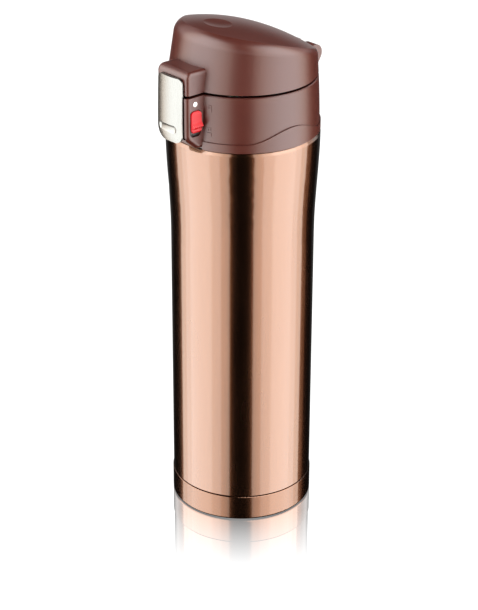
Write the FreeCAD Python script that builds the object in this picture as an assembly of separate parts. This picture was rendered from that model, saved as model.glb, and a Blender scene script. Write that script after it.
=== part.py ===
"""Insulated one-touch tumbler: double-walled steel bottle, screw-on cap unit, flip lid and rocker latch.

Millimetres. The origin is the centre of the base, +Z is up along the bottle's axis, the latch faces -Y,
the lid's hinge is at +Y and the lock button is on the +X side of the latch housing.
"""
import FreeCAD, Part
import math
import os

V = FreeCAD.Vector
UP = V(0, 0, 1)
ALONG_X = V(1, 0, 0)
ALONG_Y = V(0, 1, 0)

# Bottle body
BODY_R = 33.0             # straight part of the outer shell
FLARE_R = 35.05           # widest radius, just under the collar
FLARE_START = 138.0
FLARE_END = 188.0
FLARE_KEPT = 0.97         # share of the flare's curve kept below the rounded shoulder
SHEET = 0.6               # steel sheet thickness
SHOULDER_Z = 187.9        # top of the outer shell's shoulder
FOOT_Z = 3.0              # lower edge of the outer shell inside the base cap
NECK_R = 27.0             # outside of the neck, at the thread's root
LIP_Z = 204.0             # rim of the mouth
LINER_R = 29.3            # inside of the liner
MOUTH_R = 25.2            # inside of the mouth
LINER_FLOOR = 9.6
LINER_TAPER_Z = 173.0     # above this the liner narrows to the mouth

# Base
CAP_R = 33.35             # base cap, slightly proud of the shell
CAP_TOP = 12.6
CAP_BOTTOM = 0.3
PAD_R = 27.2

# Screw thread between neck and cap unit
PITCH = 4.0
TURNS = 2.0
THREAD_Z = 191.5          # centre of the neck's ridge where it starts
RIDGE_HEIGHT = 1.0
RIDGE_ROOT = 2.2          # ridge width at its root
RIDGE_CREST = 1.2
THREAD_GAP = 0.4          # radial room between the two ridges and roots

# Cap unit
SKIRT_R = 30.0            # outside of the threaded skirt
DECK_Z = 206.1
DECK_THICK = 2.1
COLLAR_BOTTOM = 188.2
BAND_R = 35.0
BAND_THICK = 0.5
BAND_TOP = 192.1          # band's upper edge away from its two waves
WAVE_RISE = 5.8
WAVE_ANGLE = 88           # crest of each wave, in degrees from the front
WAVE_HALF_ANGLE = 38
COLLAR_TOP = 213.3
COLLAR_TOP_R = 33.68
COLLAR_BORE = 31.6
SPLIT_GAP = 1.2           # open line between collar and lid

# Latch housing
HOUSING_HALF = 10.4       # half width
HOUSING_FRONT = -41.8
RECESS_HALF = 8.3         # half width of the recess that the latch plate sits in
RECESS_BACK = -37.5
CAVITY_HALF = 7.6
CAVITY_BACK = -34.2
LOCK_POCKET_HALF = 9.2    # half width of the room for the lock behind the housing's wall
LID_HOUSING_HALF = 10.2
LID_HOUSING_FRONT = -41.4
LID_HOUSING_TOP = 224.8

# Latch rocker
LATCH_Y = -37.4
LATCH_Z = 209.6
LATCH_PIN_R = 1.0
RUNNING_GAP = 0.05        # radial clearance of a pin in its bore
PLATE_HALF = 8.0
PLATE_TOP = 221.8
PLATE_BOTTOM = 192.2
PLATE_END_Y = -43.6       # the face's position at its top and bottom ends, and where it stands out most
PLATE_FRONT_Y = -44.15
PLATE_THICK = 1.9
PLATE_BOW_R = 26.0        # bend of the face across its width
GROOVE_Z = 198.2          # thumb groove in the face: height, depth and radius
GROOVE_DEPTH = 0.65
GROOVE_R = 2.9
GROOVE_ENDS = (-5.2, 3.8)
LEVER_BACK = -40.2
SPRING_Z = 197.0

# Lock slide
SLOT_FRONT = -40.0
SLOT_REAR = -34.0
SLOT_BOTTOM = 195.2
SLOT_TOP = 207.4
LOCK_TRAVEL = 1.8
SLIDE_GAP = 0.3

# Lid
LID_R = 33.6              # at its lower edge
LID_WALL = 2.2
LID_HEIGHT = 28.0         # over which the wall's lean is given
LID_TOP_R = 30.66         # radius of the leaning wall at that height
LID_TOP_SHIFT = 1.68      # the leaning wall's centre moves back by this
CROWN_Z = 237.6           # top surface: height at the axis, slope and bend along Y, bend along X
CROWN_SLOPE = -0.2575
CROWN_BEND_Y = -0.00736
CROWN_BEND_X = -0.00529
LID_EDGE_FRONT_R = 7.5    # rounding between wall and top, at the front and at the back
LID_EDGE_BACK_R = 4.2
CREASE_RISE = 0.4         # the rounding is meant for a top this much higher, so it ends in a crease

# Lid hinge
HINGE_Y = 35.4
HINGE_Z = 216.6
BARREL_R = 4.2
HINGE_PIN_R = 1.25
KNUCKLE_INNER = 3.2
KNUCKLE_OUTER = 5.8
EAR_INNER = 6.1
EAR_OUTER = 9.3
SWING_GAP = 0.4

# Spout
SPOUT_Y = -12.0
SPOUT_BORE = 7.5
SPOUT_R = 9.2
SPOUT_LIP_R = 10.0
SPOUT_TOP = 226.0
POCKET_R = 12.6           # room round the spout inside the lid
POCKET_ROOF = 228.0
LINER_PLATE_Z = 215.2
LINER_THICK = 1.2
VENT_Y = 12.0


# ---------------------------------------------------------------- helpers

def on_xz(a, b):
    return V(a, 0, b)


def on_yz(a, b):
    return V(0, a, b)


def corner_arc(before, corner, after, radius):
    """Entry, middle and exit of the arc that rounds a corner."""
    back = (before - corner).normalize()
    ahead = (after - corner).normalize()
    half = back.getAngle(ahead) / 2
    reach = radius / math.tan(half)
    towards_centre = (back + ahead).normalize()
    middle = corner + towards_centre * (radius / math.sin(half) - radius)
    return corner + back * reach, middle, corner + ahead * reach


def outline(points, place=on_xz):
    """Closed face through (a, b) or (a, b, rounding radius) points."""
    corners = [place(point[0], point[1]) for point in points]
    edges = []
    stops = []
    for i, point in enumerate(points):
        before = corners[i - 1]
        after = corners[(i + 1) % len(corners)]
        if len(point) == 3:
            entry, middle, leave = corner_arc(before, corners[i], after, point[2])
            edges.append(Part.Arc(entry, middle, leave).toShape())
            stops.append((entry, leave))
        else:
            stops.append((corners[i], corners[i]))
    for i, stop in enumerate(stops):
        following = stops[(i + 1) % len(stops)][0]
        if stop[1].distanceToPoint(following) > 1e-4:
            edges.append(Part.makeLine(stop[1], following))
    return Part.Face(Part.Wire(Part.__sortEdges__(edges)))


def revolved(points):
    return outline(points).revolve(V(0, 0, 0), UP, 360)


def revolved_at(points, x, y):
    solid = revolved(points)
    solid.translate(V(x, y, 0))
    return solid


def ring(outer, inner, low, high, x=0.0, y=0.0):
    return revolved_at([(inner, low), (outer, low), (outer, high), (inner, high)], x, y)


def rod_x(radius, x0, x1, y, z):
    return Part.makeCylinder(radius, x1 - x0, V(x0, y, z), ALONG_X)


def box(x0, x1, y0, y1, z0, z1):
    return Part.makeBox(x1 - x0, y1 - y0, z1 - z0, V(x0, y0, z0))


def across_x(points, x0, x1):
    """Solid of a side outline, given as (y, z) points, between two X planes."""
    solid = outline(points, on_yz).extrude(V(x1 - x0, 0, 0))
    solid.translate(V(x0, 0, 0))
    return solid


def mirrored_x(shape):
    return shape.mirror(V(0, 0, 0), ALONG_X)


def both_sides(shape):
    return [shape, mirrored_x(shape)]


def edges_where(shape, test):
    return [edge for edge in shape.Edges if test(edge.BoundBox)]


def export(name, shape):
    if not shape.isValid():
        raise ValueError(name + " is not a valid shape")
    if len(shape.Solids) == 1:
        shape = shape.Solids[0]
    shape.exportStep("parts/" + name + ".step")
    print(name, len(shape.Solids), "solid(s), volume", round(shape.Volume, 1))


def ridge(root_r, crest_r, start_z):
    """One helical thread ridge, sunk a little into the wall that carries it."""
    sink = 0.25 if crest_r > root_r else -0.25
    helix = Part.makeHelix(PITCH, PITCH * TURNS, root_r)
    section = Part.makePolygon([
        V(root_r - sink, 0, -RIDGE_ROOT / 2),
        V(crest_r, 0, -RIDGE_CREST / 2),
        V(crest_r, 0, RIDGE_CREST / 2),
        V(root_r - sink, 0, RIDGE_ROOT / 2),
        V(root_r - sink, 0, -RIDGE_ROOT / 2),
    ])
    solid = Part.Wire(helix.Edges).makePipeShell([section], True, True)
    solid.rotate(V(0, 0, 0), UP, 20)
    solid.translate(V(0, 0, start_z))
    return solid


def coil(mean_r, wire_r, length, turns):
    """Coil spring along +Z from the origin."""
    helix = Part.makeHelix(length / turns, length, mean_r)
    section = Part.Wire(Part.makeCircle(wire_r, V(mean_r, 0, 0), ALONG_Y))
    return Part.Wire(helix.Edges).makePipeShell([section], True, True)


# ---------------------------------------------------------------- vessel

def skin(inset):
    """Solid inside the outer shell's skin, drawn in by an inset."""
    lower = [
        on_xz(0, FOOT_Z), on_xz(BODY_R - 0.4 - inset, FOOT_Z), on_xz(BODY_R - 0.4 - inset, CAP_TOP + 0.05),
        on_xz(BODY_R - inset, CAP_TOP + 0.4), on_xz(BODY_R - inset, FLARE_START)]
    third = (FLARE_END - FLARE_START) / 3
    flare = Part.BezierCurve()
    flare.setPoles([
        on_xz(BODY_R - inset, FLARE_START), on_xz(BODY_R - inset, FLARE_START + third),
        on_xz(FLARE_R - inset, FLARE_END - third), on_xz(FLARE_R - inset, FLARE_END)])
    flare.segment(0.0, FLARE_KEPT)
    upper = [
        flare.value(1.0), on_xz(FLARE_R - 0.9 - inset, SHOULDER_Z - inset),
        on_xz(NECK_R + 4.0, SHOULDER_Z - inset), on_xz(NECK_R + 1.8, SHOULDER_Z + 0.7 - inset),
        on_xz(NECK_R - inset, SHOULDER_Z + 1.9), on_xz(NECK_R - inset, LIP_Z - SHEET),
        on_xz(0, LIP_Z - SHEET), on_xz(0, FOOT_Z)]
    edges = Part.makePolygon(lower).Edges + [flare.toShape()] + Part.makePolygon(upper).Edges
    return Part.Face(Part.Wire(edges)).revolve(V(0, 0, 0), UP, 360)


def outer_shell():
    shell = skin(0).cut(skin(SHEET))
    shell = shell.cut(Part.makeCylinder(BODY_R - 0.4 - SHEET, 2, V(0, 0, FOOT_Z - 1)))
    shell = shell.cut(Part.makeCylinder(NECK_R - SHEET, 4, V(0, 0, LIP_Z - 3)))
    return shell.fuse(ridge(NECK_R, NECK_R + RIDGE_HEIGHT, THREAD_Z)).removeSplitter()


def inner_liner():
    wall = SHEET
    floor = LINER_FLOOR
    neck_start = SHOULDER_Z - 1.5
    return revolved([
        (0, floor), (LINER_R + wall, floor, 8.0), (LINER_R + wall, LINER_TAPER_Z, 14.0),
        (MOUTH_R + wall, neck_start, 5.0), (MOUTH_R + wall, LIP_Z - wall), (NECK_R, LIP_Z - wall),
        (NECK_R, LIP_Z), (MOUTH_R, LIP_Z, 0.4), (MOUTH_R, neck_start, 5.6), (LINER_R, LINER_TAPER_Z, 13.4),
        (LINER_R, floor + wall, 7.4), (0, floor + wall)])


def vacuum_base():
    rim = BODY_R - 0.4 - SHEET
    return revolved([
        (0.8, 6.6), (6.5, 6.6, 0.6), (8.0, 5.2, 0.6), (rim - 0.6, 5.2, 1.0), (rim - 0.6, FOOT_Z + 0.1),
        (rim, FOOT_Z + 0.1), (rim, 5.8, 1.6), (8.4, 5.8, 0.6), (6.9, 7.2, 0.6), (0.8, 7.2)])


def evacuation_seal():
    return revolved([(0, 5.5), (1.6, 5.5, 0.5), (2.4, 6.1), (2.4, 6.6), (0.75, 6.6), (0.75, 7.4), (0, 7.4)])


def getter():
    return revolved_at([(0, 5.85), (4.0, 5.85), (4.0, 7.0, 0.4), (3.2, 7.3, 0.3), (0, 7.3)], 18, 0)


def foil_wrap():
    return ring(LINER_R + SHEET + 0.45, LINER_R + SHEET + 0.3, 22, 160)


def base_cap():
    floor = CAP_BOTTOM + 0.7
    inner = BODY_R - 0.35
    recess_r = PAD_R + 0.4
    return revolved([
        (0, 1.6), (recess_r, 1.6), (recess_r, CAP_BOTTOM, 0.3), (CAP_R, CAP_BOTTOM, 0.9),
        (CAP_R, CAP_TOP, 0.3), (inner, CAP_TOP), (inner, floor, 0.6), (recess_r + 0.7, floor),
        (recess_r + 0.7, 2.3), (0, 2.3)])


def base_pad():
    pad = revolved([(0, 0), (PAD_R, 0, 0.5), (PAD_R, 1.55), (0, 1.55)])
    for radius in (8, 15, 22):
        pad = pad.cut(ring(radius + 0.6, radius - 0.6, -1, 0.4))
    return pad


# ---------------------------------------------------------------- seal and cap unit

def mouth_seal():
    low = LIP_Z + 0.3
    return revolved([
        (25.4, low + 0.5, 0.3), (26.1, low, 0.3), (26.9, low, 0.3), (27.9, low + 0.5, 0.3),
        (27.9, DECK_Z - 0.1), (25.4, DECK_Z - 0.1)])


def stopper_core():
    thread_root = NECK_R + RIDGE_HEIGHT + THREAD_GAP
    skirt = ring(SKIRT_R, thread_root, 190.6, DECK_Z + 0.5)
    deck = revolved([(0, DECK_Z), (COLLAR_BORE - 0.1, DECK_Z), (COLLAR_BORE - 0.1, DECK_Z + DECK_THICK),
                     (24.6, DECK_Z + DECK_THICK, 0.4), (23.9, DECK_Z + DECK_THICK - 0.6, 0.4),
                     (0, DECK_Z + DECK_THICK - 0.6)])
    plug = revolved([(23.2, 197.0), (24.3, 197.0, 0.5), (24.85, 198.4), (24.85, DECK_Z + 0.5),
                     (23.2, DECK_Z + 0.5)])
    core = skirt.fuse([deck, plug])
    grip = ridge(thread_root, NECK_R + THREAD_GAP, THREAD_Z + PITCH / 2)
    core = core.fuse(grip)
    chimney = ring(2.8, 1.2, DECK_Z, 212.0, 0, VENT_Y)
    core = core.cut(Part.makeCylinder(2.0, 8, V(0, VENT_Y, DECK_Z - 2))).fuse(chimney)
    core = core.cut(Part.makeCylinder(SPOUT_R + 0.15, 8, V(0, SPOUT_Y, DECK_Z - 2)))
    return core.removeSplitter()


def collar_ring(grow=0.0):
    """Collar casing without its housing, its outside grown by an amount."""
    outer = BAND_R - BAND_THICK + grow
    rim_r = COLLAR_TOP_R + grow
    lower = [
        on_xz(COLLAR_BORE, COLLAR_BOTTOM + 0.5), on_xz(outer, COLLAR_BOTTOM + 0.5), on_xz(outer - 0.05, 192)]
    side = Part.Arc(on_xz(outer - 0.05, 192), on_xz(outer - 0.28, 202), on_xz(rim_r, COLLAR_TOP - 0.4))
    upper = [
        on_xz(rim_r, COLLAR_TOP - 0.4), on_xz(rim_r - 0.4, COLLAR_TOP), on_xz(COLLAR_BORE + 0.4, COLLAR_TOP),
        on_xz(COLLAR_BORE, COLLAR_TOP - 0.4), on_xz(COLLAR_BORE, DECK_Z - 0.05),
        on_xz(SKIRT_R + 0.35, DECK_Z - 0.05), on_xz(SKIRT_R + 0.35, DECK_Z - 1.4),
        on_xz(COLLAR_BORE, DECK_Z - 2.8), on_xz(COLLAR_BORE, COLLAR_BOTTOM + 0.5)]
    edges = Part.makePolygon(lower).Edges + [side.toShape()] + Part.makePolygon(upper).Edges
    return Part.Face(Part.Wire(edges)).revolve(V(0, 0, 0), UP, 360)


def lower_housing():
    block = across_x([
        (-32.2, COLLAR_TOP), (HOUSING_FRONT, COLLAR_TOP), (HOUSING_FRONT, 194.2, 5.5), (-35.6, 188.9, 3.0),
        (-33.2, 188.75), (-32.2, 188.75)], -HOUSING_HALF, HOUSING_HALF)
    front = edges_where(block, lambda b: b.XLength < 0.01 and b.YMin < -35 and b.YMax < -34
                        and not (b.ZLength < 0.01 and b.ZMin > 200))
    return block.makeFillet(2.2, front)


def housing_hollows():
    """Recess for the plate, cavity for the rocker, and the lock's pocket and slot."""
    recess = box(-RECESS_HALF, RECESS_HALF, -50, RECESS_BACK, 180, 220)
    cavity = box(-CAVITY_HALF, CAVITY_HALF, RECESS_BACK - 1, CAVITY_BACK, 191.8, LATCH_Z + 2.3)
    lock_pocket = box(CAVITY_HALF - 1, LOCK_POCKET_HALF, -38.9, SLOT_REAR + 0.1, 191.8, SLOT_TOP + 0.5)
    slot = rounded_window(SLOT_FRONT, SLOT_REAR, SLOT_BOTTOM, SLOT_TOP, 1.9, LOCK_POCKET_HALF - 1, 12)
    return [recess, cavity, lock_pocket, slot]


def rounded_window(y0, y1, z0, z1, radius, x0, x1):
    return across_x([(y0, z0, radius), (y1, z0, radius), (y1, z1, radius), (y0, z1, radius)], x0, x1)


def barrel_tangent(y, z):
    """Where the line from (y, z) touches the hinge barrel on its outer side."""
    towards = math.atan2(z - HINGE_Z, y - HINGE_Y)
    turn = math.acos(BARREL_R / math.hypot(y - HINGE_Y, z - HINGE_Z))
    return HINGE_Y + BARREL_R * math.cos(towards + turn), HINGE_Z + BARREL_R * math.sin(towards + turn)


def hinge_ear():
    web = across_x([(32.0, 206.0), (34.0, 206.0), barrel_tangent(34.0, 206.0), (HINGE_Y, HINGE_Z),
                    (32.4, 213.2)], EAR_INNER, EAR_OUTER)
    ear = rod_x(BARREL_R, EAR_INNER, EAR_OUTER, HINGE_Y, HINGE_Z).fuse(web)
    return ear.removeSplitter()


def padlock_mark(centre_z, lift):
    """Raised padlock sign on the collar's wall: a body and a shackle."""
    reach = 36
    body = box(-1.0, 1.0, -reach, -30, centre_z - 1.3, centre_z + 0.3)
    shackle = across_x([(-reach, centre_z + lift), (-30, centre_z + lift), (-30, centre_z + lift + 1.4),
                        (-reach, centre_z + lift + 1.4)], -0.8, 0.8)
    shackle = shackle.cut(box(-0.4, 0.4, -reach - 1, -29, centre_z + lift - 0.1, centre_z + lift + 1.0))
    mark = body.fuse(shackle)
    mark.rotate(V(0, 0, 0), UP, 22.8)
    return mark


def collar():
    body = collar_ring().fuse(lower_housing())
    for ear in both_sides(hinge_ear()):
        body = body.fuse(ear)
    raised = collar_ring(0.2)
    for centre_z, lift in ((207.4, 0.3), (196.4, 1.1)):
        body = body.fuse(padlock_mark(centre_z, lift).common(raised))
    for hollow in housing_hollows():
        body = body.cut(hollow)
    notch = rod_x(BARREL_R + SWING_GAP, -EAR_INNER, EAR_INNER, HINGE_Y, HINGE_Z)
    leg_groove = box(-3.2, -1.9, 32.7, 36, 208.2, 214)
    hinge_bore = rod_x(HINGE_PIN_R, -EAR_OUTER - 1, EAR_OUTER + 1, HINGE_Y, HINGE_Z)
    latch_bore = rod_x(LATCH_PIN_R, -9.95, 9.95, LATCH_Y, LATCH_Z)
    spring_seat = Part.makeCylinder(2.6, 0.5, V(0, CAVITY_BACK - 0.01, SPRING_Z), ALONG_Y)
    dot_seat = rod_x(1.12, HOUSING_HALF - 0.3, HOUSING_HALF + 1, -37.1, 210.2)
    return body.cut([notch, leg_groove, hinge_bore, latch_bore, spring_seat, dot_seat]).removeSplitter()


def above_wave():
    """Everything above the band's upper edge, which rises in one wave on each side of the cap."""
    points = []
    for step in range(-4, 5):
        angle = WAVE_ANGLE + WAVE_HALF_ANGLE * step / 4
        rise = WAVE_RISE * math.cos(math.radians(90 * step / 4)) ** 2
        points.append(on_yz(-BAND_R * math.cos(math.radians(angle)), BAND_TOP + rise))
    wave = Part.BSplineCurve()
    wave.interpolate(Points=points, InitialTangent=ALONG_Y, FinalTangent=ALONG_Y)
    rest = Part.makePolygon([
        points[-1], on_yz(45, BAND_TOP), on_yz(45, 210), on_yz(-45, 210), on_yz(-45, BAND_TOP), points[0]])
    block = Part.Face(Part.Wire([wave.toShape()] + rest.Edges)).extrude(V(90, 0, 0))
    block.translate(V(-45, 0, 0))
    return block


def collar_band():
    inner = BAND_R - BAND_THICK
    foot_top = COLLAR_BOTTOM + 0.45
    band = revolved([
        (COLLAR_BORE, COLLAR_BOTTOM), (BAND_R - 0.2, COLLAR_BOTTOM), (BAND_R, COLLAR_BOTTOM + 0.2),
        (BAND_R - 0.1, 203), (inner, 203), (inner, foot_top), (COLLAR_BORE, foot_top)])
    band.rotate(V(0, 0, 0), UP, -90)
    front = box(-HOUSING_HALF - 0.1, HOUSING_HALF + 0.1, -45, -25, 180, 210)
    return band.cut(front).cut(above_wave())


def spout():
    return revolved_at([
        (SPOUT_BORE, DECK_Z), (SPOUT_R, DECK_Z), (SPOUT_R, 209.1), (11.4, 209.1, 0.3), (11.4, 210.3, 0.5),
        (SPOUT_R, 211.5, 1.0), (SPOUT_R, 221.0, 3.0), (SPOUT_LIP_R, SPOUT_TOP - 1.2),
        (SPOUT_LIP_R, SPOUT_TOP, 0.9), (SPOUT_BORE, SPOUT_TOP, 0.9)], 0, SPOUT_Y)


def spout_gasket():
    base = DECK_Z + DECK_THICK - 0.6
    return ring(11.3, SPOUT_R + 0.1, base, 209.1, 0, SPOUT_Y)


def hinge_pin():
    return rod_x(HINGE_PIN_R, -EAR_OUTER, EAR_OUTER, HINGE_Y, HINGE_Z)


def latch_pin():
    return rod_x(LATCH_PIN_R, -9.9, 9.9, LATCH_Y, LATCH_Z)


def torsion_spring():
    mean_r = 2.0
    wire_r = 0.3
    half = 2.6
    spring = coil(mean_r, wire_r, 2 * half, 5)
    spring.rotate(V(0, 0, 0), ALONG_Y, 90)
    spring.rotate(V(0, 0, 0), ALONG_X, 90)
    spring.translate(V(-half, HINGE_Y, HINGE_Z))
    ends = [V(-half, HINGE_Y - mean_r, HINGE_Z), V(half, HINGE_Y - mean_r, HINGE_Z)]
    down_leg = Part.makeCylinder(wire_r, 7.5, ends[0], V(0, 0, -1))
    up_leg = Part.makeCylinder(wire_r, 2.7, ends[1], UP)
    bends = [Part.makeSphere(wire_r * 1.02, end) for end in ends]
    return spring.fuse([down_leg, up_leg] + bends)


def latch_spring():
    spring = coil(2.0, 0.25, -LEVER_BACK + CAVITY_BACK - 0.55, 5)
    spring.rotate(V(0, 0, 0), ALONG_X, -90)
    spring.translate(V(0, LEVER_BACK + 0.26, SPRING_Z))
    return spring


def indicator_dot():
    return rod_x(1.1, HOUSING_HALF - 0.29, HOUSING_HALF + 0.04, -37.1, 210.2)


# ---------------------------------------------------------------- latch

def plate_profile(inset):
    """Side curve of the latch plate's face from top to bottom, drawn in by an inset."""
    curve = Part.BSplineCurve()
    stations = ((PLATE_END_Y, PLATE_TOP), (-43.9, 213), (-44.1, 204), (PLATE_FRONT_Y, 198), (-44.0, 194.6),
                (PLATE_END_Y, PLATE_BOTTOM))
    curve.interpolate([on_yz(y + inset, z) for y, z in stations])
    return curve.toShape()


def plate_side_view(inset):
    """Face between the plate's side curve, drawn in by an inset, and a plane well behind it."""
    top = on_yz(PLATE_END_Y + inset, PLATE_TOP)
    bottom = on_yz(PLATE_END_Y + inset, PLATE_BOTTOM)
    rest = Part.makePolygon([bottom, on_yz(-30, PLATE_BOTTOM), on_yz(-30, PLATE_TOP), top])
    return Part.Face(Part.Wire([plate_profile(inset)] + rest.Edges))


def behind_flat_face(inset):
    """Wide solid behind the side curve, straight across."""
    solid = plate_side_view(inset).extrude(V(30, 0, 0))
    solid.translate(V(-15, 0, 0))
    return solid


def behind_bowed_face(inset):
    """Wide solid behind the side curve, bowed across its width."""
    centre = on_yz(PLATE_FRONT_Y + PLATE_BOW_R, 0)
    solid = plate_side_view(inset).revolve(centre, UP, 40)
    solid.rotate(centre, UP, -20)
    return solid


def front_view(points, y0, y1):
    """Solid of a front outline, given as (x, z) points, between two Y planes."""
    solid = outline(points, on_xz).extrude(V(0, y1 - y0, 0))
    solid.translate(V(0, y0, 0))
    return solid


def thumb_groove():
    """Round-bottomed channel with round ends that follows the bow of the plate's face."""
    centre_y = PLATE_FRONT_Y + PLATE_BOW_R
    orbit = PLATE_BOW_R + GROOVE_R - GROOVE_DEPTH
    start, end = GROOVE_ENDS
    groove = Part.makeTorus(orbit, GROOVE_R, V(0, centre_y, GROOVE_Z), UP)
    groove = groove.common(box(start, end, -55, -40, GROOVE_Z - 5, GROOVE_Z + 5))
    for x in GROOVE_ENDS:
        y = centre_y - math.sqrt(orbit ** 2 - x ** 2)
        groove = groove.fuse(Part.makeSphere(GROOVE_R, V(x, y, GROOVE_Z)))
    return groove


def latch_plate():
    half = PLATE_HALF
    shield = front_view([(-half, PLATE_TOP, 2.5), (half, PLATE_TOP, 2.5), (half, PLATE_BOTTOM, 4.0),
                         (-half, PLATE_BOTTOM, 6.0)], -45, -35)
    plate = behind_bowed_face(0).cut(behind_flat_face(PLATE_THICK)).common(shield)
    return plate.cut(thumb_groove()).removeSplitter()


def latch_lever():
    """Rocker behind the plate: slab, hook on a neck, and two arms on the latch pin."""
    slab = front_view([(-7.0, 193.6, 3.0), (7.0, 193.6, 3.0), (7.0, 213.0), (-7.0, 213.0)], -45, LEVER_BACK)
    neck = box(-4.5, 4.5, -45, LEVER_BACK - 0.3, 212.5, 217.6)
    hook = across_x([(-41.0, 216.0), (-39.9, 216.4), (-39.9, 217.0), (-41.0, 217.6)], -4.5, 4.5)
    arm = across_x([
        (-40.5, 204.0), (LATCH_Y, LATCH_Z - 2.0, 1.0), (LATCH_Y, LATCH_Z + 1.9), (-40.5, 211.5)], 5.0, 7.2)
    arm = arm.fuse(rod_x(1.9, 5.0, 7.2, LATCH_Y, LATCH_Z))
    spigot = Part.makeCylinder(1.2, 1.4, V(0, LEVER_BACK - 0.1, SPRING_Z), ALONG_Y)
    lever = slab.fuse([neck, hook, spigot] + both_sides(arm))
    lever = lever.common(behind_flat_face(PLATE_THICK + 0.02))
    return lever.cut(rod_x(LATCH_PIN_R + RUNNING_GAP, -10, 10, LATCH_Y, LATCH_Z)).removeSplitter()


# ---------------------------------------------------------------- lock

def lock_slider():
    """Thumb button: stepped face with a nose, in the housing's slot."""
    low = SLOT_BOTTOM + SLIDE_GAP + LOCK_TRAVEL
    high = SLOT_TOP - SLIDE_GAP
    body = front_view([
        (8.9, low), (10.9, low, 0.3), (11.5, low + 0.9, 0.5), (11.0, low + 1.8, 0.5), (12.8, low + 3.1, 0.4),
        (11.3, low + 5.0, 1.2), (11.3, high - 1.2, 0.6), (10.7, high, 0.3), (8.9, high)], -45, -30)
    round_window = rounded_window(SLOT_FRONT + SLIDE_GAP, SLOT_REAR - SLIDE_GAP, low, high, 1.6, 5, 15)
    return body.common(round_window)


def lock_bar():
    """Inner part of the lock: a guide plate behind the slot and a tooth towards the rocker."""
    plate = box(7.9, 8.9, -38.6, SLOT_REAR - 0.5, 193.9, SLOT_TOP + 0.2)
    tooth = box(4.6, 8.0, -38.3, -36.2, 199.0, 201.5)
    return plate.fuse(tooth).removeSplitter()


# ---------------------------------------------------------------- lid

def leaning_wall(inset, low, high):
    """Oblique cone of the lid's wall, drawn in by an inset, between two heights."""
    base = COLLAR_TOP + SPLIT_GAP
    hoops = []
    for z in (low, high):
        share = (z - base) / LID_HEIGHT
        radius = LID_R + (LID_TOP_R - LID_R) * share - inset
        hoops.append(Part.Wire(Part.makeCircle(radius, V(LID_TOP_SHIFT * share, 0, z), UP)))
    wall = Part.makeLoft(hoops, True, True)
    wall.rotate(V(0, 0, 0), UP, 90)
    return wall


def under_crown(drop):
    """Tall block whose top is the lid's crowned top surface, lowered by a drop."""
    span = 60.0
    along_x = [CROWN_BEND_X * span ** 2, -CROWN_BEND_X * span ** 2, CROWN_BEND_X * span ** 2]
    along_y = [-CROWN_SLOPE * span + CROWN_BEND_Y * span ** 2, -CROWN_BEND_Y * span ** 2,
               CROWN_SLOPE * span + CROWN_BEND_Y * span ** 2]
    crown = Part.BezierSurface()
    crown.increase(2, 2)
    for i in range(3):
        for j in range(3):
            z = CROWN_Z - drop + along_x[i] + along_y[j]
            crown.setPole(i + 1, j + 1, V((i - 1) * span, (j - 1) * span, z))
    return crown.toShape().extrude(V(0, 0, -90))


def lid_dome():
    """Lid without its housing: wall, rounded shoulder and a crease round the crowned top."""
    base = COLLAR_TOP + SPLIT_GAP
    dome = leaning_wall(0, base, base + LID_HEIGHT + 4).common(under_crown(-CREASE_RISE))
    half = dome.common(box(0, 50, -50, 50, base - 1, base + 40))
    top_edge = edges_where(half, lambda b: b.ZMin > base + 3 and b.XLength > 10)
    half = half.makeFillet(LID_EDGE_FRONT_R, LID_EDGE_BACK_R, top_edge)
    return half.fuse(mirrored_x(half)).removeSplitter().common(under_crown(0))


def dimple():
    """Shallow oval hollow in the lid's top, near the front."""
    half_x = 9.0
    half_y = 6.0
    depth = 0.9
    centre_y = -14.3
    sphere_r = (half_x ** 2 + depth ** 2) / (2 * depth)
    surface_z = CROWN_Z + CROWN_SLOPE * centre_y + CROWN_BEND_Y * centre_y ** 2
    ball = Part.makeSphere(sphere_r)
    squeeze = FreeCAD.Matrix()
    squeeze.scale(1, half_y / half_x, 1)
    ball = ball.transformGeometry(squeeze)
    ball.translate(V(0, centre_y, surface_z + sphere_r - depth))
    return ball


def upper_housing():
    base = COLLAR_TOP + SPLIT_GAP
    block = across_x([
        (-29.5, base), (LID_HOUSING_FRONT, base), (LID_HOUSING_FRONT, LID_HOUSING_TOP, 3.2),
        (-29.5, LID_HOUSING_TOP)], -LID_HOUSING_HALF, LID_HOUSING_HALF)
    rim = edges_where(block, lambda b: b.XLength < 0.01 and b.YMin < -36
                      and not (b.ZLength < 0.01 and b.ZMin < base + 1))
    return block.makeFillet(1.8, rim)


def lid_knuckle():
    web = across_x([(31.6, 214.5), (HINGE_Y, 214.5), (HINGE_Y, HINGE_Z + BARREL_R), (31.4, 220.8)],
                   KNUCKLE_INNER, KNUCKLE_OUTER)
    return rod_x(BARREL_R, KNUCKLE_INNER, KNUCKLE_OUTER, HINGE_Y, HINGE_Z).fuse(web).removeSplitter()


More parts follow.
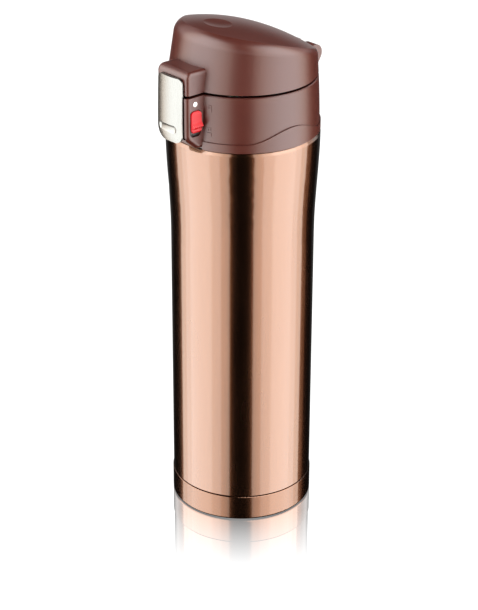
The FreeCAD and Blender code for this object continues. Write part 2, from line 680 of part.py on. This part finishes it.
def lid_shell():
    base = COLLAR_TOP + SPLIT_GAP
    lid = lid_dome().fuse(upper_housing())
    inside = leaning_wall(LID_WALL, base - 1, base + LID_HEIGHT + 4).common(under_crown(LID_WALL))
    lid = lid.cut(inside)
    for knuckle in both_sides(lid_knuckle()):
        lid = lid.fuse(knuckle.cut(inside))
    window = box(-5.2, 5.2, -45, -39.6, base - 1, 219.0)
    hook_pocket = box(-5.2, 5.2, -40, -37.6, 215.6, 219.0)
    hollow = box(-8.2, 8.2, -36.4, -33.9, base - 1, 222.5)
    ear_room = rod_x(BARREL_R + SWING_GAP, EAR_INNER - 0.25, EAR_OUTER + 0.3, HINGE_Y, HINGE_Z)
    spring_room = rod_x(3.0, -KNUCKLE_INNER, KNUCKLE_INNER, HINGE_Y, HINGE_Z)
    upper_leg_room = box(1.9, KNUCKLE_INNER, 32.7, 36, HINGE_Z, 219.8)
    lower_leg_room = box(-KNUCKLE_INNER, -1.9, 32.7, 36, base - 1, HINGE_Z)
    pin_bore = rod_x(HINGE_PIN_R + RUNNING_GAP, -12, 12, HINGE_Y, HINGE_Z)
    hollows = [window, hook_pocket, hollow, spring_room, upper_leg_room, lower_leg_room, pin_bore, dimple()]
    for space in hollows + both_sides(ear_room):
        lid = lid.cut(space)
    return lid.removeSplitter()


def lid_liner():
    """Inner cover: a flat floor with a round pocket for the spout and a hole for the vent seal."""
    plate = Part.makeCylinder(LID_R - LID_WALL - 0.45, LINER_THICK, V(0, 0, LINER_PLATE_Z))
    pocket_height = POCKET_ROOF - LINER_PLATE_Z
    corner = V(0, SPOUT_Y, LINER_PLATE_Z)
    pocket = Part.makeCylinder(POCKET_R + LINER_THICK, pocket_height + LINER_THICK, corner)
    liner = plate.fuse(pocket)
    liner = liner.cut(Part.makeCylinder(POCKET_R, pocket_height + 1, corner - UP))
    return liner.cut(Part.makeCylinder(1.6, 10, V(0, VENT_Y, 210))).removeSplitter()


def lid_seal():
    low = SPOUT_TOP + 0.3
    return revolved_at([
        (0, POCKET_ROOF - 0.8), (6.4, POCKET_ROOF - 0.8, 0.5), (6.4, low, 0.4), (10.9, low, 0.5),
        (10.9, POCKET_ROOF - 0.6), (12.0, POCKET_ROOF - 0.6), (12.0, POCKET_ROOF), (0, POCKET_ROOF)],
        0, SPOUT_Y)


def vent_seal():
    return revolved_at([
        (0, 212.35), (3.3, 212.35, 0.5), (3.3, LINER_PLATE_Z), (1.6, LINER_PLATE_Z), (1.6, 216.5),
        (2.2, 216.5), (1.2, 217.6), (0, 217.6)], 0, VENT_Y)


# ---------------------------------------------------------------- build

NODES = {
    "outer_shell": outer_shell,
    "inner_liner": inner_liner,
    "vacuum_base": vacuum_base,
    "evacuation_seal": evacuation_seal,
    "getter": getter,
    "foil_wrap": foil_wrap,
    "base_cap": base_cap,
    "base_pad": base_pad,
    "mouth_seal": mouth_seal,
    "stopper_core": stopper_core,
    "collar": collar,
    "collar_band": collar_band,
    "spout": spout,
    "spout_gasket": spout_gasket,
    "hinge_pin": hinge_pin,
    "latch_pin": latch_pin,
    "torsion_spring": torsion_spring,
    "latch_spring": latch_spring,
    "indicator_dot": indicator_dot,
    "latch_plate": latch_plate,
    "latch_lever": latch_lever,
    "lock_slider": lock_slider,
    "lock_bar": lock_bar,
    "lid_shell": lid_shell,
    "lid_liner": lid_liner,
    "lid_seal": lid_seal,
    "vent_seal": vent_seal,
}

os.makedirs("parts", exist_ok=True)
for node, make in NODES.items():
    export(node, make())
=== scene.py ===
"""Looks of the insulated one-touch tumbler: materials, studio, floor and camera.

Every shape is the CAD's own. Metres, in the model's own frame: +Z is up along the bottle, the latch faces -Y,
the hinge is at +Y and the lock button is on the +X side of the latch housing. Colours are linear.
"""

import math

import bpy
from mathutils import Matrix

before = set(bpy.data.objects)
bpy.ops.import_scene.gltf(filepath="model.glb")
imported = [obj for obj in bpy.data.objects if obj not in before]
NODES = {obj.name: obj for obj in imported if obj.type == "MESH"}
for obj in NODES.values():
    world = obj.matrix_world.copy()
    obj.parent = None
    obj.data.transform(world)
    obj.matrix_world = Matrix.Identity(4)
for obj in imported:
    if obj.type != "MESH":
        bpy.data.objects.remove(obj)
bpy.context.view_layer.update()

MM = 0.001

# Plastics and rubbers
BROWN = (0.058, 0.0138, 0.0096)
INNER_BROWN = (0.036, 0.016, 0.013)
MECHANISM_BLACK = (0.03, 0.028, 0.028)
SLIDE_RED = (0.38, 0.008, 0.013)
MARK_WHITE = (0.86, 0.86, 0.84)
MILKY = (0.86, 0.87, 0.86)
PAD_BROWN = (0.09, 0.055, 0.045)

# Metals: the darker and the lighter colour that their hairs, creases or grains drift between
LACQUER = ((0.135, 0.069, 0.041), (0.1512, 0.07728, 0.04592))
STEEL = ((0.56, 0.55, 0.53), (0.66, 0.65, 0.63))
PLATING = ((0.205, 0.207, 0.198), (0.235, 0.237, 0.228))
FOIL = ((0.62, 0.30, 0.17), (0.80, 0.44, 0.27))
BRAZE = ((0.42, 0.33, 0.20), (0.58, 0.47, 0.30))
GETTER = ((0.12, 0.12, 0.125), (0.23, 0.23, 0.235))

# Refractive index of the clear coat: the higher it is, the stronger the gloss
SHELL_GLOSS = 1.63
BASE_GLOSS = 1.46

# Camera: a long lens looking down at the latch side from the front right, with its angles in degrees
CAMERA_PLACE = (0.6211, -0.5593, 0.5087)
CAMERA_HEADING = 48.10
CAMERA_TILT = 63.83
CAMERA_ROLL = 0.204
CAMERA_LENS = 116.7

# Softboxes: distance from the bottle's axis, and heights of their lower and upper edges
BOX_DISTANCE = 0.9
BOX_LOW = -0.9
BOX_HIGH = 1.8

# Each softbox is four lights laid over one another, so it dims and goes from cool to amber towards its
# sides. Each light has the azimuths of its two sides in degrees, 0 towards the camera and positive to the
# camera's right, then its brightness and colour
WARM = (0.97, 0.895, 0.81)
COOL = (0.80, 1.0, 1.14)
AMBER = (1.0, 0.45, 0.22)
BOXES = (
    ("left_fringe", -121, -17, 0.25, AMBER),
    ("left_rim", -116, -20, 2.4, WARM),
    ("left_body", -103, -34, 0.8, COOL),
    ("left_core", -92, -50, 0.7, COOL),
    ("right_fringe", 14, 123, 0.35, AMBER),
    ("right_rim", 17, 110, 2.4, WARM),
    ("right_body", 31, 97, 0.9, COOL),
    ("right_core", 48, 88, 0.7, COOL),
)

# Square light straight above the lid, which lightens its colour but isn't mirrored in it
TOP_HEIGHT = 1.1
TOP_SIDE = 0.7
TOP_BRIGHTNESS = 3.6
TOP_COLOUR = (1.0, 0.97, 0.94)

# The room that the object's glossy surfaces mirror: dark below the horizon and overhead, and white between.
# The band's stops are the sine of the height above the horizon, and the whiteness there
ROOM_DARK = 0.006
BAND = ((0.02, 0), (0.12, 1), (0.70, 1), (0.84, 0))

# Round patches of the room in line with the camera. Each has its middle in degrees up from the horizon
# beyond the bottle, the angles from that middle where it ends and where it is full, and its brightness. The
# lid's near edge mirrors the first and the lid's top mirrors the others
PATCHES = (
    (130.0, 42, 26, ROOM_DARK),
    (5.0, 44, 30, 0.10),
    (-3.0, 20, 12, 0.6),
)

# Floor: its side, the share that it mirrors at the bottle's foot, the distances from the bottle's axis
# where the mirroring starts to fade and where it ends, and how much of a distance to the camera's side counts
FLOOR_SIDE = 8.0
MIRRORED = 0.8
MIRROR_FADES = 30 * MM
MIRROR_ENDS = 80 * MM
SIDEWAYS = 0.6


# ---------------------------------------------------------------- node helpers

class Tree:
    """A node tree, built one node at a time."""

    def __init__(self, tree):
        self.nodes = tree.nodes
        self.links = tree.links
        self.nodes.clear()

    def add(self, kind, **settings):
        node = self.nodes.new(kind)
        for name, value in settings.items():
            setattr(node, name, value)
        return node

    def put(self, socket, value):
        """Sets a socket to a number, vector or colour, or links another node's output to it."""
        if isinstance(value, bpy.types.NodeSocket):
            self.links.new(value, socket)
        elif socket.type == "RGBA":
            socket.default_value = (*value, 1.0)
        else:
            socket.default_value = value

    def between(self, fac, low, high, start=0.3, end=0.7):
        """A number that goes from low to high as fac goes from start to end. Left out, start and end are
        the values that a noise mostly keeps between."""
        node = self.add("ShaderNodeMapRange")
        self.put(node.inputs["Value"], fac)
        for name, value in (("From Min", start), ("From Max", end), ("To Min", low), ("To Max", high)):
            self.put(node.inputs[name], value)
        return node.outputs[0]

    def chosen(self, fac, first, second):
        """The first shader where fac is 0, and the second where it is 1."""
        node = self.add("ShaderNodeMixShader")
        for socket, value in zip(node.inputs, (fac, first, second)):
            self.put(socket, value)
        return node.outputs[0]


class Shader(Tree):
    """A material's node tree: one surface, and the patterns that vary it."""

    # Where the Mix node keeps its sockets for colours
    MIX_FACTOR, MIX_FIRST, MIX_SECOND, MIX_RESULT = 0, 6, 7, 2

    def __init__(self, name):
        self.material = bpy.data.materials.new(name)
        self.material.use_nodes = True
        super().__init__(self.material.node_tree)
        self.surface = self.add("ShaderNodeBsdfPrincipled")
        self.output = self.add("ShaderNodeOutputMaterial")
        self.put(self.output.inputs[0], self.surface.outputs[0])

    def set(self, **values):
        """Sets the surface's sockets: words of a name are joined with underscores."""
        for name, value in values.items():
            self.put(self.surface.inputs[name.replace("_", " ").title().replace("Ior", "IOR")], value)

    def stretched(self, scale):
        """The point on the object, in metres in the model's frame, multiplied along X, Y and Z."""
        mapping = self.add("ShaderNodeMapping")
        self.put(mapping.inputs["Vector"], self.add("ShaderNodeTexCoord").outputs["Object"])
        self.put(mapping.inputs["Scale"], scale)
        return mapping.outputs[0]

    def noise(self, scale, detail, stretch=(1, 1, 1), roughness=0.5):
        """Noise with about scale features a metre, times the stretch along X, Y and Z."""
        node = self.add("ShaderNodeTexNoise")
        self.put(node.inputs["Vector"], self.stretched(stretch))
        for name, value in (("Scale", scale), ("Detail", detail), ("Roughness", roughness)):
            self.put(node.inputs[name], value)
        return node.outputs["Fac"]

    def mixed(self, noise, first, second):
        """A colour that drifts between two with a noise."""
        node = self.add("ShaderNodeMix", data_type="RGBA")
        self.put(node.inputs[self.MIX_FACTOR], self.between(noise, 0, 1))
        self.put(node.inputs[self.MIX_FIRST], first)
        self.put(node.inputs[self.MIX_SECOND], second)
        return node.outputs[self.MIX_RESULT]

    def bump(self, height, strength, distance):
        node = self.add("ShaderNodeBump")
        for name, value in (("Strength", strength), ("Distance", distance), ("Height", height)):
            self.put(node.inputs[name], value)
        self.put(self.surface.inputs["Normal"], node.outputs[0])

    def around_axis(self):
        """Tangent that runs round the bottle's axis."""
        tangent = self.add("ShaderNodeTangent", direction_type="RADIAL", axis="Z")
        self.put(self.surface.inputs["Tangent"], tangent.outputs[0])


def darker(colour, share):
    return tuple(channel * share for channel in colour)


def paint(material, *nodes):
    """Gives CAD nodes a material."""
    for node in nodes:
        materials = NODES[node].data.materials
        materials.clear()
        materials.append(material)


# ---------------------------------------------------------------- materials

def copper_coated_steel(name, gloss):
    """Hairline-brushed steel under a copper-brown lacquer; the brushing runs up and down."""
    s = Shader(name)
    hairs = s.noise(scale=1.0, detail=3.0, stretch=(9000, 9000, 60))
    clouds = s.noise(scale=1.0, detail=2.0, stretch=(60, 60, 18))
    s.set(
        base_color=s.mixed(hairs, *LACQUER), metallic=1.0, roughness=s.between(clouds, 0.24, 0.28),
        anisotropic=0.65, anisotropic_rotation=0.25, coat_weight=1.0, coat_ior=gloss, coat_roughness=0.08)
    s.bump(hairs, strength=0.05, distance=0.02 * MM)
    s.around_axis()
    return s.material


def bare_steel(name, roughness):
    """Brushed stainless steel with fine rings round the axis."""
    s = Shader(name)
    rings = s.noise(scale=1.0, detail=2.0, stretch=(300, 300, 9000))
    s.set(
        base_color=s.mixed(rings, *STEEL), metallic=1.0,
        roughness=s.between(rings, roughness - 0.04, roughness + 0.04))
    s.bump(rings, strength=0.08, distance=0.03 * MM)
    return s.material


def moulded_plastic(name, colour, roughness, ior=1.62):
    """Moulded plastic with a fine spark-eroded grain and a slight drift of tone and gloss."""
    s = Shader(name)
    grains = s.noise(scale=2600.0, detail=2.0)
    drift = s.noise(scale=45.0, detail=3.0)
    s.set(
        base_color=s.mixed(drift, darker(colour, 0.90), colour),
        roughness=s.between(grains, roughness - 0.03, roughness + 0.03), ior=ior)
    s.bump(grains, strength=0.25, distance=0.02 * MM)
    return s.material


def plated_plastic():
    """Satin silver plating on the latch plate, brushed up and down."""
    s = Shader("satin_silver")
    hairs = s.noise(scale=1.0, detail=3.0, stretch=(7000, 7000, 120))
    s.set(base_color=s.mixed(hairs, *PLATING), metallic=1.0, roughness=s.between(hairs, 0.25, 0.31))
    s.bump(hairs, strength=0.05, distance=0.02 * MM)
    return s.material


def metal_foil():
    """Crinkled copper foil round the inner wall, which keeps radiant heat in."""
    s = Shader("copper_foil")
    creases = s.noise(scale=140.0, detail=4.0, stretch=(1, 1, 0.4), roughness=0.7)
    s.set(base_color=s.mixed(creases, *FOIL), metallic=1.0, roughness=s.between(creases, 0.16, 0.32))
    s.bump(creases, strength=0.6, distance=0.4 * MM)
    return s.material


def brazing_metal():
    """Bead of brazing metal, dull and slightly grainy where it flowed."""
    s = Shader("braze")
    flow = s.noise(scale=900.0, detail=3.0)
    s.set(base_color=s.mixed(flow, *BRAZE), metallic=1.0, roughness=s.between(flow, 0.35, 0.55))
    s.bump(flow, strength=0.4, distance=0.1 * MM)
    return s.material


def pressed_powder():
    """Grey getter alloy, pressed from powder and sintered."""
    s = Shader("getter_alloy")
    grains = s.noise(scale=5200.0, detail=3.0)
    s.set(base_color=s.mixed(grains, *GETTER), metallic=0.6, roughness=s.between(grains, 0.62, 0.82))
    s.bump(grains, strength=0.6, distance=0.08 * MM)
    return s.material


def silicone(name, colour, clearness):
    """Soft rubber, more or less translucent, with faint cloudiness."""
    s = Shader(name)
    mottle = s.noise(scale=900.0, detail=3.0)
    clouds = s.noise(scale=160.0, detail=2.0)
    s.set(
        base_color=s.mixed(clouds, darker(colour, 0.92), colour), roughness=s.between(mottle, 0.42, 0.52),
        transmission_weight=clearness, subsurface_weight=0.3 * (1 - clearness), subsurface_scale=2 * MM,
        ior=1.41)
    s.bump(mottle, strength=0.15, distance=0.02 * MM)
    return s.material


def paint_nodes():
    brown = moulded_plastic("brown_plastic", BROWN, roughness=0.32)
    steel = bare_steel("bare_steel", roughness=0.26)
    paint(copper_coated_steel("copper_coated_steel", SHELL_GLOSS), "outer_shell")
    paint(copper_coated_steel("copper_coated_base", BASE_GLOSS), "base_cap")
    paint(steel, "inner_liner", "vacuum_base")
    paint(metal_foil(), "foil_wrap")
    paint(brazing_metal(), "evacuation_seal")
    paint(pressed_powder(), "getter")
    paint(brown, "collar", "collar_band", "lid_shell")
    paint(moulded_plastic("inner_plastic", INNER_BROWN, roughness=0.5), "stopper_core", "spout", "lid_liner")
    paint(plated_plastic(), "latch_plate")
    paint(moulded_plastic("mechanism_plastic", MECHANISM_BLACK, roughness=0.45), "latch_lever", "lock_bar")
    paint(moulded_plastic("red_plastic", SLIDE_RED, roughness=0.32, ior=1.42), "lock_slider")
    paint(moulded_plastic("white_mark", MARK_WHITE, roughness=0.35), "indicator_dot")
    paint(
        silicone("clear_silicone", MILKY, clearness=0.35),
        "mouth_seal", "spout_gasket", "lid_seal", "vent_seal")
    paint(silicone("base_silicone", PAD_BROWN, clearness=0.0), "base_pad")
    paint(
        bare_steel("pin_steel", roughness=0.18),
        "hinge_pin", "latch_pin", "torsion_spring", "latch_spring")


# ---------------------------------------------------------------- studio

def make_camera():
    data = bpy.data.cameras.new("camera")
    data.lens = CAMERA_LENS
    camera = bpy.data.objects.new("camera", data)
    turn = Matrix.Rotation(math.radians(CAMERA_HEADING), 4, "Z")
    tilt = Matrix.Rotation(math.radians(CAMERA_TILT), 4, "X")
    roll = Matrix.Rotation(math.radians(CAMERA_ROLL), 4, "Z")
    camera.matrix_world = Matrix.Translation(CAMERA_PLACE) @ turn @ tilt @ roll
    bpy.context.scene.collection.objects.link(camera)
    bpy.context.scene.camera = camera


def panel(name, width, height, brightness, colour):
    """Rectangular light that looks equally bright at any size."""
    data = bpy.data.lights.new(name, "AREA")
    data.shape = "RECTANGLE"
    data.size = width
    data.size_y = height
    data.energy = brightness * math.pi * width * height
    data.color = colour
    light = bpy.data.objects.new(name, data)
    bpy.context.scene.collection.objects.link(light)
    return light


def softbox(name, start, end, brightness, colour):
    """Upright light that faces the bottle's axis and covers it from one azimuth to another."""
    half = math.radians(end - start) / 2
    light = panel(name, 2 * BOX_DISTANCE * math.tan(half), BOX_HIGH - BOX_LOW, brightness, colour)
    azimuth = math.radians(CAMERA_HEADING + (start + end) / 2)
    height = (BOX_LOW + BOX_HIGH) / 2
    light.location = (BOX_DISTANCE * math.sin(azimuth), -BOX_DISTANCE * math.cos(azimuth), height)
    light.rotation_euler = (math.radians(90), 0, azimuth)


def make_world():
    """White to the camera and in the floor's sharp mirror, and a dim room with a white band to the rest."""
    world = bpy.data.worlds.new("studio")
    world.use_nodes = True
    w = Tree(world.node_tree)
    direction = w.add("ShaderNodeTexCoord").outputs["Generated"]

    def background(brightness):
        node = w.add("ShaderNodeBackground")
        w.put(node.inputs["Color"], (brightness, brightness, brightness))
        return node.outputs[0]

    def band():
        """Whiteness by height above the horizon."""
        height = w.add("ShaderNodeSeparateXYZ")
        w.put(height.inputs[0], direction)
        ramp = w.add("ShaderNodeValToRGB")
        w.put(ramp.inputs[0], height.outputs["Z"])
        stops = ramp.color_ramp.elements
        for stop in stops:
            stop.color = (0, 0, 0, 1)
        for position, level in BAND:
            stops.new(position).color = (level, level, level, 1)
        return ramp.outputs[0]

    def patch(lean, end, full):
        """1 inside a round patch in line with the camera, and 0 outside it."""
        away = math.radians(CAMERA_HEADING)
        lean = math.radians(lean)
        middle = (-math.sin(away) * math.cos(lean), math.cos(away) * math.cos(lean), math.sin(lean))
        nearness = w.add("ShaderNodeVectorMath", operation="DOT_PRODUCT")
        w.put(nearness.inputs[0], direction)
        w.put(nearness.inputs[1], middle)
        edges = [math.cos(math.radians(angle)) for angle in (end, full)]
        return w.between(nearness.outputs["Value"], 0, 1, *edges)

    room = w.chosen(band(), background(ROOM_DARK), background(1.0))
    for lean, end, full, brightness in PATCHES:
        room = w.chosen(patch(lean, end, full), room, background(brightness))
    ray = w.add("ShaderNodeLightPath")
    for kind in ("Is Camera Ray", "Is Singular Ray"):
        room = w.chosen(ray.outputs[kind], room, background(1.0))
    w.put(w.add("ShaderNodeOutputWorld").inputs[0], room)
    world.cycles_visibility.diffuse = False
    bpy.context.scene.world = world


def make_floor():
    """White sheet that mirrors the bottle's foot sharply, and less and less further out. The lights reach
    below it, so it casts no shadow, and the bottle neither mirrors it nor is lit by it."""
    bpy.ops.mesh.primitive_plane_add(size=FLOOR_SIDE, rotation=(0, 0, math.radians(CAMERA_HEADING)))
    floor = bpy.context.object
    floor.name = "floor"
    s = Shader("white_floor")
    s.set(base_color=(1, 1, 1), metallic=1.0, roughness=0.0)
    distance = s.add("ShaderNodeVectorMath", operation="LENGTH")
    s.put(distance.inputs[0], s.stretched((SIDEWAYS, 1, 1)))
    mirrored = s.between(distance.outputs["Value"], MIRRORED, 0.0, MIRROR_FADES, MIRROR_ENDS)
    white = s.add("ShaderNodeEmission").outputs[0]
    s.put(s.output.inputs[0], s.chosen(mirrored, white, s.surface.outputs[0]))
    floor.data.materials.append(s.material)
    floor.visible_glossy = False
    floor.visible_diffuse = False
    floor.visible_shadow = False


def make_studio():
    """Two softboxes at the bottle's sides and a light above it, in a room with a white backdrop."""
    for box in BOXES:
        softbox(*box)
    top = panel("top", TOP_SIDE, TOP_SIDE, TOP_BRIGHTNESS, TOP_COLOUR)
    top.location = (0, 0, TOP_HEIGHT)
    top.visible_glossy = False
    make_world()
    make_floor()
    make_camera()
    bpy.context.scene.view_settings.view_transform = "Standard"
    bpy.context.scene.view_settings.look = "Medium High Contrast"


paint_nodes()
make_studio()
